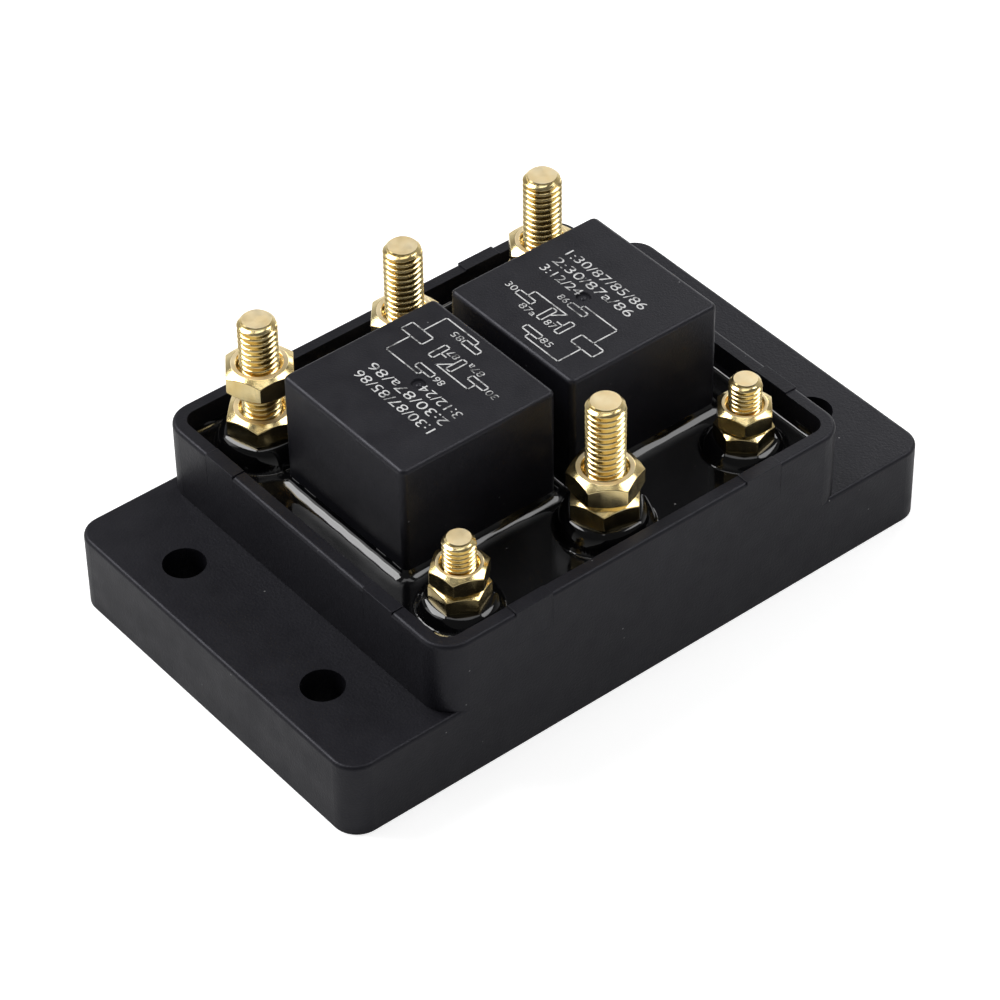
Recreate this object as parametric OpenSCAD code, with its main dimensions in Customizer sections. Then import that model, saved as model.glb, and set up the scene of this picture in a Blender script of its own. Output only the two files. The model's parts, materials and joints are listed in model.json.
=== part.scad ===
// Dual relay module in a potted tray housing with six threaded terminal studs.
// Millimetres. X runs along the housing, Y across it, Z up from the mounting face.
// The origin is at the middle of the mounting face.

/* [Housing] */
// Length of each mounting flange
flange_len = 16.8; // [15:0.2:20]
// Height of the flange tops
flange_h = 13.2; // [11:0.2:15]
// Height of the rim round the well
rim_h = 25.8; // [24.6:0.2:28]
// Thickness of the well walls and of the flange skirts
wall = 2.2; // [1.6:0.1:2.6]
// Thickness of the well floor
floor_t = 3; // [2:0.5:4]
// Thickness of the flange tops
flange_t = 2.8; // [2:0.2:4]
// Corner radius of the flanges
flange_r = 4; // [3:0.2:6]
// Corner radius of the well
well_r = 4.6; // [4.2:0.2:6]
// Radius of the housing's top edges
edge_r = 0.6; // [0.3:0.1:0.7]
// Diameter of the mounting holes
hole_d = 6.6; // [5.4:0.1:7.4]
// Distance of the mounting holes from the ends
hole_inset = 8.2; // [8:0.1:9]
// Distance across the housing between two mounting holes
hole_pitch = 33.4; // [28:0.2:38]
// Wall round each mounting hole
boss_wall = 2.4; // [1.6:0.2:3]
// Thickness of the ribs under the flanges
rib_t = 1.6; // [1:0.1:2]

/* [Rim recesses] */
// Width of each shallow recess in the outside of the rim
recess_w = 6.6; // [4:0.2:9]
// Depth of a recess at the rim
recess_d = 0.4; // [0.2:0.1:0.8]
// Height over which a recess runs out
recess_h = 6; // [3:0.5:10]
// Distance between the two recesses of a long wall
recess_pitch_x = 43.2; // [30:0.2:54]
// Distance between the two recesses of an end wall
recess_pitch_y = 37.5; // [24:0.5:44]

/* [Potting resin] */
// Depth of the resin surface below the rim
resin_drop = 4.3; // [3.6:0.1:5]
// Rise of the resin at the relay covers
meniscus_r = 1; // [0.5:0.1:1.2]
// Rise of the resin at the well walls
wall_meniscus_r = 0.8; // [0.4:0.1:1.2]
// Thickness of the resin bead outside the corners of a nut
bead_t = 0.45; // [0.3:0.05:0.8]
// Radius of the bead's shoulder
bead_shoulder_r = 1; // [0.6:0.1:1.1]
// Radius of the fillet at the bead's foot
bead_foot_r = 0.7; // [0.4:0.1:0.8]

/* [Circuit board] */
// Clear height between the well floor and the board
board_rise = 11; // [9.5:0.5:12]
// Board thickness
board_t = 2; // [1.6:0.2:2.4]
// Gap between the board's edge and the well wall
board_gap = 0.4; // [0.2:0.1:0.8]
// Side of the square posts under the board's corners
post_w = 3; // [2:0.2:3.2]
// Thickness of the copper bars under the board
bar_t = 1.5; // [1:0.1:2]

/* [Terminal studs] */
// Distance of the stud rows from the relays
stud_to_relay = 9.2; // [8.6:0.1:12]
// Distance of the stud rows from the long outer faces
stud_to_side = 10.3; // [9.8:0.1:13]
// Distance of the outer studs from the outer end faces of the well
stud_to_end = 11.4; // [10.6:0.1:14]
// Thread diameter of the large studs
large_d = 6; // [5:0.1:6.4]
// Nut and head size across flats on the large studs
large_af = 10; // [9:0.1:10.2]
// Nut thickness on the large studs
large_nut_h = 4.2; // [3:0.1:5]
// Head thickness of the large bolts
large_head_h = 4; // [3:0.1:5]
// Height of the lower large nuts' seats above the resin
large_seat = 2.7; // [1.6:0.1:3.4]
// Length of a large stud above its lower nut
large_free = 16.4; // [15:0.2:20]
// Thread diameter of the small studs
small_d = 5; // [4:0.1:5.4]
// Nut and head size across flats on the small studs
small_af = 8; // [7.6:0.1:9]
// Nut thickness on the small studs
small_nut_h = 3.5; // [3:0.1:4.2]
// Head thickness of the small bolts
small_head_h = 3.5; // [2.6:0.1:4.4]
// Height of the lower small nuts' seats above the resin
small_seat = 1.3; // [1.3:0.1:2]
// Length of a small stud above its lower nut
small_free = 8.2; // [7:0.2:12]
// Chamfer at the stud tips
tip_c = 0.8; // [0.4:0.1:1]
// Gap under the raised nut of the back left stud
nut_raise = 4.2; // [2.5:0.1:8]
// Radial clearance between a stud and what runs on it
thread_fit = 0.05; // [0.03:0.01:0.08]
// Wall of the spacer sleeves
sleeve_t = 1.3; // [1:0.1:1.6]

/* [Relays] */
// Side of the square relay cover
relay_w = 28; // [27.6:0.2:28.6]
// Height of a relay over the board
relay_h = 25.3; // [24:0.1:28]
// Gap between the two relays
relay_gap = 2.8; // [2.4:0.1:4]
// Distance of the relays from the outer end faces of the well
relay_to_end = 8.8; // [8:0.1:11]
// Wall thickness of the cover
cover_wall = 1; // [0.8:0.1:1.1]
// Radius of the cover's upright edges
cover_side_r = 1.5; // [1.3:0.1:2]
// Radius of the cover's top edges
cover_top_r = 1.1; // [0.7:0.1:1.2]
// Distance of the relay terminals from the relay's middle
pin_pitch = 8.4; // [8.3:0.05:8.6]
// Width of a terminal blade
blade_w = 6.3; // [5:0.1:6.5]
// Thickness of a terminal blade
blade_t = 0.8; // [0.6:0.1:0.9]
// Armature angle between rest and pulled in, in degrees
armature_angle = 4.5; // [3.5:0.1:5]

/* [Hidden] */
$fn = 64;
plastic_colour = "#232326";
resin_colour = "#0a0a0c";
brass_colour = "#d2ab55";
copper_colour = "#b8693c";
steel_colour = "#9a9ca0";
silver_colour = "#d9dbdd";
board_colour = "#1f4d33";
base_colour = "#d8d4c8";
overrun = 0.5;

// Housing
well_len = 2 * relay_w + relay_gap + 2 * relay_to_end;
housing_len = well_len + 2 * flange_len;
housing_w = relay_w + 2 * (stud_to_relay + stud_to_side);
cavity_len = well_len - 2 * wall;
cavity_w = housing_w - 2 * wall;
cavity_r = well_r - wall;
hole_x = housing_len / 2 - hole_inset;
boss_r = hole_d / 2 + boss_wall;
pocket_len = flange_len - wall;
pocket_h = flange_h - flange_t;
rib_pitch = hole_pitch / 4;

// Levels of the stack from the floor to the nuts
board_z = floor_t + board_rise;
board_top = board_z + board_t;
resin_z = rim_h - resin_drop;
large_lower_z = resin_z + large_seat;
large_upper_z = large_lower_z + large_nut_h;
large_tip_z = large_upper_z + large_free;
small_lower_z = resin_z + small_seat;
small_upper_z = small_lower_z + small_nut_h;
small_tip_z = small_upper_z + small_free;

// Places and turns of the studs and nuts
stud_pitch = well_len / 2 - stud_to_end;
stud_y = relay_w / 2 + stud_to_relay;
at_motor_a = [-stud_pitch, stud_y];
at_positive = [0, stud_y];
at_motor_b = [stud_pitch, stud_y];
at_control_a = [-stud_pitch, -stud_y];
at_negative = [0, -stud_y];
at_control_b = [stud_pitch, -stud_y];
large_places = [at_motor_a, at_positive, at_motor_b, at_negative];
small_places = [at_control_a, at_control_b];
large_lower_turns = [46, 40, 22, 48];
small_lower_turns = [27, 14];
head_turn = 0;

// Nuts, heads and resin beads
ring_share = 0.855;
sink_share = 1.18;
bead_cover_share = 0.17;
chamfer_angle = 30;
large_corner_r = large_af / 2 / cos(chamfer_angle);
small_corner_r = small_af / 2 / cos(chamfer_angle);

// Copper bars
bar_margin = 1.5;
bar_finger_w = 4.8;
large_pad_r = large_corner_r + bar_margin / 2;
bus_y = pin_pitch + blade_t / 2 + bar_margin;

// Relay places, with the contacts of both relays towards the middle
left = -1;
right = 1;
relay_x = (relay_w + relay_gap) / 2;
inner_half = relay_w / 2 - cover_wall;
dimple_r = 1.2;
dimple_d = 0.25;

// Relay base and terminals, with heights counted from the board's top
base_fit = 0.1;
base_t = 3;
strip_z = 1;
pin_end = bar_t + board_t + 2 * strip_z;
wall_gap = 0.4;
strip_half = blade_w / 2 + 1.8;
window_clear = 0.4;
coil_pin_top = 7;
riser_30_top = 11;

// Magnet
yoke_t = 1.5;
yoke_half = 6.5;
foot_end = 5;
coil_half = 6.8;
coil_leg_gap = 0.7;
spool_t = 1;
winding_t = 2.2;
barrel_t = 1;
top_clear = 2.2;
core_r = 3;
core_fit = 0.05;
pole_r = 4.6;
pole_t = 1;
pole_gap = 0.1;
spool_z = base_t + yoke_t;
leg_x = coil_half + coil_leg_gap;
leg_out_x = leg_x + yoke_t;

// Armature and contacts, drawn pulled in and then turned up to their rest angle
pivot_x = leg_out_x;
armature_t = 1.3;
armature_half = 6;
armature_tail = 0.6;
armature_clear = 1.9;
rivet_r = 0.8;
rivet_head_r = 1.3;
rivet_head_h = 0.6;
rivet_x = 1.5;
rivet_y = 2.4;
leaf_t = 0.4;
leaf_half = 4;
leaf_tip_half = 2.6;
leaf_start = 4;
leaf_overhang = 0.1;
contact_r = 1.8;
contact_t = 0.6;
shank_r = 0.9;
fixed_contact_r = 2;
fixed_contact_t = 0.8;
contact_gap = 0.05;
contact_clear = 0.5;
tab_half = 2.4;
riser_87a_x = -(inner_half - wall_gap);
contact_x = riser_87a_x + blade_t + contact_clear + contact_r;
armature_end = contact_x + contact_r + armature_clear;
swing = pivot_x - contact_x + contact_r;
rise = armature_t + leaf_t + contact_t;
closed_tab_z = relay_h - cover_wall - top_clear - blade_t;
closed_contact_z = closed_tab_z - fixed_contact_t;
pivot_z = closed_contact_z - contact_gap - swing * sin(armature_angle) - rise * cos(armature_angle);
pole_top = pivot_z - pole_gap;
pole_z = pole_top - pole_t;
winding_h = pole_z - spool_z - 2 * spool_t;
leaf_z = pivot_z + armature_t;
leaf_end = contact_x - contact_r + leaf_overhang;
leaf_neck_x = contact_x + contact_r + contact_clear;
moving_bottom = leaf_z - contact_t;
open_contact_z = moving_bottom - contact_gap - fixed_contact_t;
open_tab_z = open_contact_z - blade_t;
closed_tab_end = contact_x + fixed_contact_r;
open_tab_end = max(closed_tab_end, blade_t / 2 - pin_pitch);

// Plan of a rectangle with round corners
module rounded_plan(l, w, r) {
    square([l - 2 * r, w], center = true);
    square([l, w - 2 * r], center = true);
    for (x = [-1, 1]) {
        for (y = [-1, 1]) {
            translate([x * (l / 2 - r), y * (w / 2 - r)]) circle(r);
        }
    }
}

module rounded_block(l, w, h, r) {
    linear_extrude(h) rounded_plan(l, w, r);
}

// Runs a section round the edge of a rounded plan, with the section's X pointing outwards
module edge_run(l, w, r) {
    for (side = [0, 1]) {
        mirror([side, 0, 0]) {
            translate([l / 2, w / 2 - r, 0]) rotate([90, 0, 0]) linear_extrude(w - 2 * r) children();
            for (end = [0, 1]) {
                mirror([0, end, 0]) translate([l / 2 - r, w / 2 - r, 0])
                    rotate_extrude(angle = 90) translate([r, 0]) children();
            }
        }
        mirror([0, side, 0]) translate([r - l / 2, w / 2, 0])
            rotate([90, 0, 90]) linear_extrude(l - 2 * r) children();
    }
}

// Section that rounds an outer top edge off
module edge_section(r) {
    difference() {
        translate([-r, -r]) square(r + overrun);
        translate([-r, -r]) circle(r);
    }
}

// Section of resin that creeps up a wall, with the wall on the side of negative X
module creep_section(r) {
    difference() {
        square(r);
        translate([r, r]) circle(r);
    }
}

// Hexagonal prism with its corners chamfered at both ends
module hex_body(af, h, turn) {
    corner_r = af / 2 / cos(chamfer_angle);
    ring_r = ring_share * af / 2;
    drop = (corner_r + overrun - ring_r) * tan(chamfer_angle);
    rotate([0, 0, turn]) intersection() {
        cylinder(r = corner_r, h = h, $fn = 6);
        rotate_extrude() polygon([
            [0, 0], [ring_r, 0], [corner_r + overrun, drop],
            [corner_r + overrun, h - drop], [ring_r, h], [0, h]
        ]);
    }
}

module hex_nut(d, af, h, turn) {
    bore_r = d / 2 + thread_fit;
    sink_r = sink_share * d / 2;
    difference() {
        hex_body(af, h, turn);
        translate([0, 0, -overrun]) cylinder(r = bore_r, h = h + 2 * overrun);
        for (end = [0, 1]) {
            translate([0, 0, end * h]) mirror([0, 0, end])
                cylinder(r1 = sink_r, r2 = bore_r, h = sink_r - bore_r);
        }
    }
}

// Bolt with its head at the bottom and a chamfered tip
module stud(place, d, af, head_z, head_h, tip_z) {
    color(brass_colour) translate([place.x, place.y, 0]) {
        translate([0, 0, head_z]) hex_body(af, head_h, head_turn);
        translate([0, 0, head_z + head_h]) cylinder(d = d, h = tip_z - tip_c - head_z - head_h);
        translate([0, 0, tip_z - tip_c]) cylinder(r1 = d / 2, r2 = d / 2 - tip_c, h = tip_c);
    }
}

module large_stud(place) {
    stud(place, large_d, large_af, board_z - bar_t - large_head_h, large_head_h, large_tip_z);
}

module small_stud(place) {
    stud(place, small_d, small_af, board_z - small_head_h, small_head_h, small_tip_z);
}

module large_nut(place, turn, lift) {
    color(brass_colour) translate([place.x, place.y, large_upper_z + lift])
        hex_nut(large_d, large_af, large_nut_h, turn);
}

module small_nut(place, turn) {
    color(brass_colour) translate([place.x, place.y, small_upper_z])
        hex_nut(small_d, small_af, small_nut_h, turn);
}

module housing() {
    color(plastic_colour) difference() {
        union() {
            difference() {
                rounded_block(housing_len, housing_w, flange_h, flange_r);
                translate([0, 0, flange_h])
                    edge_run(housing_len, housing_w, flange_r) edge_section(edge_r);
            }
            difference() {
                rounded_block(well_len, housing_w, rim_h, well_r);
                translate([0, 0, rim_h]) edge_run(well_len, housing_w, well_r) edge_section(edge_r);
            }
        }
        difference() {
            translate([0, 0, floor_t]) rounded_block(cavity_len, cavity_w, rim_h, cavity_r);
            board_posts();
        }
        for (side = [left, right]) {
            flange_pocket(side);
            for (y = [-hole_pitch / 2, hole_pitch / 2]) {
                translate([side * hole_x, y, -overrun])
                    cylinder(d = hole_d, h = flange_h + 2 * overrun);
            }
            for (y = [-recess_pitch_y / 2, recess_pitch_y / 2]) {
                translate([side * well_len / 2, y, rim_h])
                    rotate([0, 0, side * 90]) rim_recess();
            }
            for (x = [-recess_pitch_x / 2, recess_pitch_x / 2]) {
                translate([x, side * housing_w / 2, rim_h])
                    rotate([0, 0, 90 + side * 90]) rim_recess();
            }
        }
    }
}

// Hollow under one flange, with ribs and hole bosses left standing
module flange_pocket(side) {
    difference() {
        translate([side * (well_len + pocket_len) / 2, 0, (pocket_h - overrun) / 2])
            cube([pocket_len, cavity_w, pocket_h + overrun], center = true);
        for (i = [-3:3]) {
            translate([side * (well_len + pocket_len) / 2, i * rib_pitch, pocket_h / 2])
                cube([flange_len, rib_t, pocket_h + 4 * overrun], center = true);
        }
        for (y = [-hole_pitch / 2, hole_pitch / 2]) {
            translate([side * hole_x, y, -overrun]) cylinder(r = boss_r, h = flange_h);
        }
    }
}

// Shallow wedge cut that faces -Y and runs out below the rim
module rim_recess() {
    translate([-recess_w / 2, 0, 0]) rotate([90, 0, 90]) linear_extrude(recess_w) polygon([
        [0, -recess_h], [recess_d, 0], [recess_d, overrun], [-overrun, overrun], [-overrun, -recess_h]
    ]);
}

module board_posts() {
    for (x = [-1, 1]) {
        for (y = [-1, 1]) {
            translate([x * (cavity_len - post_w) / 2, y * (cavity_w - post_w) / 2, board_z / 2])
                cube([post_w + overrun, post_w + overrun, board_z], center = true);
        }
    }
}

module board_plan() {
    rounded_plan(cavity_len - 2 * board_gap, cavity_w - 2 * board_gap, cavity_r - board_gap);
}

module board_body() {
    translate([0, 0, board_z]) linear_extrude(board_t) board_plan();
}

module circuit_board() {
    color(board_colour) difference() {
        board_body();
        for (place = large_places) {
            translate([place.x, place.y, 0]) cylinder(d = large_d + 2 * thread_fit, h = rim_h);
        }
        for (place = small_places) {
            translate([place.x, place.y, 0]) cylinder(d = small_d + 2 * thread_fit, h = rim_h);
        }
        all_blades();
    }
}

module bar(place) {
    color(copper_colour) difference() {
        translate([0, 0, board_z - bar_t]) linear_extrude(bar_t) intersection() {
            board_plan();
            union() {
                translate(place) circle(large_pad_r);
                children();
            }
        }
        translate([place.x, place.y, 0]) cylinder(d = large_d + 2 * thread_fit, h = rim_h);
        all_blades();
    }
}

module bar_positive() {
    reach = relay_x - pin_pitch + blade_t / 2 + bar_margin;
    bar(at_positive) {
        square([2 * reach, blade_w + 2 * bar_margin], center = true);
        translate([-large_af / 2, 0]) square([large_af, stud_y]);
    }
}

module bar_negative() {
    bus_half = relay_x + blade_w / 2 + bar_margin;
    bar(at_negative) {
        translate([-large_af / 2, -stud_y]) square([large_af, stud_y - bus_y + bar_margin]);
        translate([-bus_half, -bus_y - bar_margin]) square([2 * bus_half, blade_t + 3 * bar_margin]);
        for (x = [-relay_x, relay_x]) {
            translate([x - bar_finger_w / 2, -bus_y])
                square([bar_finger_w, bus_y + blade_w / 2 + bar_margin]);
        }
    }
}

module motor_bar(place) {
    centre = sign(place.x) * (relay_x + pin_pitch);
    bar(place) translate([centre - bar_finger_w / 2, -blade_w / 2 - bar_margin])
        square([bar_finger_w, stud_y + blade_w / 2 + bar_margin]);
}

module sleeves(places, d, z) {
    color(brass_colour) for (place = places) {
        translate([place.x, place.y, board_top]) difference() {
            cylinder(d = d + 2 * (thread_fit + sleeve_t), h = z - board_top);
            translate([0, 0, -overrun]) cylinder(d = d + 2 * thread_fit, h = z - board_top + 2 * overrun);
        }
    }
}

module lower_nuts(places, turns, d, af, h, z) {
    color(brass_colour) for (i = [0:len(places) - 1]) {
        translate([places[i].x, places[i].y, z]) hex_nut(d, af, h, turns[i]);
    }
}

// Raised resin round one stud, up to a little over the lower nut's seat
module bead(corner_r, seat, nut_h) {
    bead_r = corner_r + bead_t;
    bead_h = seat + bead_cover_share * nut_h;
    translate([0, 0, resin_z]) rotate_extrude() {
        square([bead_r, bead_h - bead_shoulder_r]);
        square([bead_r - bead_shoulder_r, bead_h]);
        intersection() {
            translate([bead_r - bead_shoulder_r, bead_h - bead_shoulder_r]) circle(bead_shoulder_r);
            square([bead_r, bead_h]);
        }
        translate([bead_r, 0]) creep_section(bead_foot_r);
    }
}

module all_beads() {
    for (place = large_places) {
        translate([place.x, place.y, 0]) bead(large_corner_r, large_seat, large_nut_h);
    }
    for (place = small_places) {
        translate([place.x, place.y, 0]) bead(small_corner_r, small_seat, small_nut_h);
    }
}

module potting_resin() {
    color(resin_colour) difference() {
        union() {
            translate([0, 0, floor_t])
                rounded_block(cavity_len, cavity_w, resin_z - floor_t, cavity_r);
            translate([0, 0, resin_z]) edge_run(cavity_len, cavity_w, cavity_r)
                mirror([1, 0]) creep_section(wall_meniscus_r);
            for (side = [left, right]) {
                translate([side * relay_x, 0, resin_z])
                    edge_run(relay_w, relay_w, cover_side_r) creep_section(meniscus_r);
            }
            intersection() {
                translate([0, 0, floor_t]) rounded_block(cavity_len, cavity_w, rim_h, cavity_r);
                all_beads();
            }
        }
        potted_pieces();
    }
}

// Everything that the resin flows round
module potted_pieces() {
    board_posts();
    board_body();
    bar_positive();
    bar_negative();
    motor_bar(at_motor_a);
    motor_bar(at_motor_b);
    all_blades();
    for (i = [0:len(large_places) - 1]) {
        translate([large_places[i].x, large_places[i].y, 0])
            stud_room(large_d, large_af, board_z - bar_t - large_head_h, large_head_h,
                large_lower_z, large_nut_h, large_lower_turns[i]);
    }
    for (i = [0:len(small_places) - 1]) {
        translate([small_places[i].x, small_places[i].y, 0])
            stud_room(small_d, small_af, board_z - small_head_h, small_head_h,
                small_lower_z, small_nut_h, small_lower_turns[i]);
    }
    for (side = [left, right]) {
        translate([side * relay_x, 0, board_top])
            rounded_block(relay_w, relay_w, relay_h, cover_side_r);
    }
}

// Space that one bolt, its sleeve and its lower nut take out of the resin
module stud_room(d, af, head_z, head_h, seat_z, nut_h, turn) {
    translate([0, 0, head_z]) hex_body(af, head_h, head_turn);
    translate([0, 0, board_z - bar_t]) cylinder(d = d + 2 * thread_fit, h = bar_t);
    translate([0, 0, board_top])
        cylinder(d = d + 2 * (thread_fit + sleeve_t), h = seat_z - board_top);
    translate([0, 0, seat_z]) hex_body(af, nut_h, turn);
}

// Moves a relay piece to its place, turned so that the contacts face the middle
module in_relay(side) {
    translate([side * relay_x, 0, board_top]) rotate([0, 0, 90 - side * 90]) children();
}

// Sheet metal piece from its side outline, centred across the relay
module sheet(half, points) {
    rotate([90, 0, 0]) linear_extrude(2 * half, center = true) polygon(points);
}

// Flat block between two corners in the side view, centred across the relay
module plate(x0, x1, z0, z1, half) {
    translate([x0, -half, z0]) cube([x1 - x0, 2 * half, z1 - z0]);
}

module relay_cover(side) {
    color(plastic_colour) in_relay(side) difference() {
        rounded_block(relay_w, relay_w, relay_h, cover_side_r);
        translate([0, 0, relay_h]) edge_run(relay_w, relay_w, cover_side_r) edge_section(cover_top_r);
        translate([0, 0, (relay_h - cover_wall - overrun) / 2])
            cube([2 * inner_half, 2 * inner_half, relay_h - cover_wall + overrun], center = true);
        translate([0, 0, relay_h - dimple_d]) cylinder(r = dimple_r, h = dimple_d + overrun);
    }
}

module relay_base(side) {
    half = inner_half - base_fit;
    color(base_colour) in_relay(side) difference() {
        plate(-half, half, 0, base_t, half);
        relay_terminals();
    }
}

module relay_bobbin(side) {
    color(base_colour) in_relay(side) difference() {
        union() {
            plate(-coil_half, coil_half, spool_z, spool_z + spool_t, coil_half);
            plate(-coil_half, coil_half, pole_z - spool_t, pole_z, coil_half);
            translate([0, 0, spool_z])
                cylinder(r = core_r + core_fit + barrel_t, h = pole_z - spool_z);
        }
        translate([0, 0, spool_z - overrun])
            cylinder(r = core_r + core_fit, h = pole_z - spool_z + 2 * overrun);
    }
}

module relay_coil(side) {
    barrel_r = core_r + core_fit + barrel_t;
    color(copper_colour) in_relay(side) translate([0, 0, spool_z + spool_t]) difference() {
        cylinder(r = barrel_r + winding_t, h = winding_h);
        translate([0, 0, -overrun]) cylinder(r = barrel_r, h = winding_h + 2 * overrun);
    }
}

module relay_core(side) {
    color(steel_colour) in_relay(side) {
        translate([0, 0, base_t]) cylinder(r = core_r, h = pole_z - base_t);
        translate([0, 0, pole_z]) cylinder(r = pole_r, h = pole_t);
    }
}

module relay_yoke(side) {
    color(steel_colour) in_relay(side) difference() {
        sheet(yoke_half, [
            [-foot_end, base_t], [leg_out_x, base_t], [leg_out_x, pole_top],
            [leg_x, pole_top], [leg_x, spool_z], [-foot_end, spool_z]
        ]);
        cylinder(r = core_r + core_fit, h = spool_z + overrun);
    }
}

module in_armature(side) {
    in_relay(side) translate([pivot_x, 0, pivot_z]) rotate([0, armature_angle, 0])
        translate([-pivot_x, 0, -pivot_z]) children();
}

module at_rivets() {
    for (y = [-rivet_y, rivet_y]) {
        translate([rivet_x, y, leaf_z]) children();
    }
}

module relay_armature(side) {
    color(steel_colour) in_armature(side) {
        plate(armature_end, pivot_x + armature_tail, pivot_z, leaf_z, armature_half);
        at_rivets() cylinder(r = rivet_r, h = leaf_t);
        at_rivets() translate([0, 0, leaf_t]) cylinder(r = rivet_head_r, h = rivet_head_h);
    }
}

module relay_contact_spring(side) {
    color(copper_colour) in_armature(side) difference() {
        union() {
            plate(leaf_neck_x, leaf_start, leaf_z, leaf_z + leaf_t, leaf_half);
            plate(leaf_end, leaf_neck_x, leaf_z, leaf_z + leaf_t, leaf_tip_half);
        }
        at_rivets() cylinder(r = rivet_r, h = leaf_t + overrun);
        translate([contact_x, 0, leaf_z - overrun]) cylinder(r = shank_r, h = leaf_t + 2 * overrun);
        at_rivets() mirror([0, 0, 1]) cylinder(r = rivet_r, h = overrun);
    }
}

module relay_moving_contact(side) {
    color(silver_colour) in_armature(side) translate([contact_x, 0, 0]) {
        translate([0, 0, moving_bottom]) cylinder(r = contact_r, h = contact_t);
        translate([0, 0, leaf_z]) cylinder(r = shank_r, h = leaf_t);
        translate([0, 0, leaf_z + leaf_t]) cylinder(r = contact_r, h = contact_t);
    }
}

module relay_open_contact(side) {
    color(silver_colour) in_relay(side) translate([contact_x, 0, open_contact_z])
        cylinder(r = fixed_contact_r, h = fixed_contact_t);
}

module relay_closed_contact(side) {
    color(silver_colour) in_relay(side) translate([contact_x, 0, closed_contact_z])
        cylinder(r = fixed_contact_r, h = fixed_contact_t);
}

module terminal_30_body() {
    sheet(blade_w / 2, [
        [pin_pitch - blade_t / 2, -pin_end], [pin_pitch + blade_t / 2, -pin_end],
        [pin_pitch + blade_t / 2, strip_z], [leg_out_x + blade_t, strip_z],
        [leg_out_x + blade_t, riser_30_top], [leg_out_x, riser_30_top],
        [leg_out_x, strip_z + blade_t], [pin_pitch - blade_t / 2, strip_z + blade_t]
    ]);
}

module coil_terminal_body(y) {
    translate([0, y, 0]) {
        plate(-blade_w / 2, blade_w / 2, -pin_end, base_t, blade_t / 2);
        plate(-blade_w / 4, blade_w / 4, base_t, coil_pin_top, blade_t / 2);
    }
}

module terminal_87_body() {
    plate(-pin_pitch - blade_t / 2, blade_t / 2 - pin_pitch, -pin_end, base_t, blade_w / 2);
    plate(-pin_pitch - blade_t / 2, blade_t / 2 - pin_pitch, base_t, open_tab_z, tab_half);
    plate(contact_x - fixed_contact_r, open_tab_end, open_tab_z, open_contact_z, tab_half);
}

module terminal_87a_body() {
    plate(-blade_t / 2, blade_t / 2, -pin_end, strip_z, blade_w / 2);
    difference() {
        plate(riser_87a_x, blade_t / 2, strip_z, strip_z + blade_t, strip_half);
        plate(-pin_pitch - blade_t / 2 - window_clear, blade_t / 2 - pin_pitch + window_clear,
            0, base_t, blade_w / 2 + window_clear);
    }
    plate(riser_87a_x, riser_87a_x + blade_t, strip_z + blade_t, closed_tab_z, tab_half);
    plate(riser_87a_x, closed_tab_end, closed_tab_z, closed_tab_z + blade_t, tab_half);
}

module relay_terminals() {
    terminal_30_body();
    coil_terminal_body(-pin_pitch);
    coil_terminal_body(pin_pitch);
    terminal_87_body();
    terminal_87a_body();
}

// Blades of both relays below their bases, as the board, bars and resin meet them
module all_blades() {
    for (side = [left, right]) {
        in_relay(side) {
            for (x = [-pin_pitch, 0, pin_pitch]) {
                plate(x - blade_t / 2, x + blade_t / 2, -pin_end, strip_z, blade_w / 2);
            }
            for (y = [-pin_pitch, pin_pitch]) {
                translate([0, y, 0]) plate(-blade_w / 2, blade_w / 2, -pin_end, strip_z, blade_t / 2);
            }
        }
    }
}

module relay_terminal_30(side) {
    color(copper_colour) in_relay(side) terminal_30_body();
}

module relay_terminal_85(side) {
    color(copper_colour) in_relay(side) coil_terminal_body(-pin_pitch);
}

module relay_terminal_86(side) {
    color(copper_colour) in_relay(side) coil_terminal_body(pin_pitch);
}

module relay_terminal_87(side) {
    color(copper_colour) in_relay(side) terminal_87_body();
}

module relay_terminal_87a(side) {
    color(copper_colour) in_relay(side) terminal_87a_body();
}

housing();
potting_resin();
circuit_board();
bar_positive();
bar_negative();
motor_bar(at_motor_a);  // bar_motor_a
motor_bar(at_motor_b);  // bar_motor_b
large_stud(at_motor_a);  // stud_motor_a
large_stud(at_positive);  // stud_positive
large_stud(at_motor_b);  // stud_motor_b
small_stud(at_control_a);  // stud_control_a
large_stud(at_negative);  // stud_negative
small_stud(at_control_b);  // stud_control_b
sleeves(large_places, large_d, large_lower_z);  // sleeves_large
sleeves(small_places, small_d, small_lower_z);  // sleeves_small
lower_nuts(large_places, large_lower_turns, large_d, large_af, large_nut_h, large_lower_z);  // lower_nuts_large
lower_nuts(small_places, small_lower_turns, small_d, small_af, small_nut_h, small_lower_z);  // lower_nuts_small
large_nut(at_motor_a, 54.4, nut_raise);  // nut_motor_a
large_nut(at_positive, 49.4, 0);  // nut_positive
large_nut(at_motor_b, 55, 0);  // nut_motor_b
small_nut(at_control_a, 39.6);  // nut_control_a
large_nut(at_negative, 23.9, 0);  // nut_negative
small_nut(at_control_b, 49.4);  // nut_control_b
relay_cover(left);  // relay_a_cover
relay_base(left);  // relay_a_base
relay_bobbin(left);  // relay_a_bobbin
relay_coil(left);  // relay_a_coil
relay_core(left);  // relay_a_core
relay_yoke(left);  // relay_a_yoke
relay_armature(left);  // relay_a_armature
relay_contact_spring(left);  // relay_a_contact_spring
relay_moving_contact(left);  // relay_a_moving_contact
relay_open_contact(left);  // relay_a_open_contact
relay_closed_contact(left);  // relay_a_closed_contact
relay_terminal_30(left);  // relay_a_terminal_30
relay_terminal_85(left);  // relay_a_terminal_85
relay_terminal_86(left);  // relay_a_terminal_86
relay_terminal_87(left);  // relay_a_terminal_87
relay_terminal_87a(left);  // relay_a_terminal_87a
relay_cover(right);  // relay_b_cover
relay_base(right);  // relay_b_base
relay_bobbin(right);  // relay_b_bobbin
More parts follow.
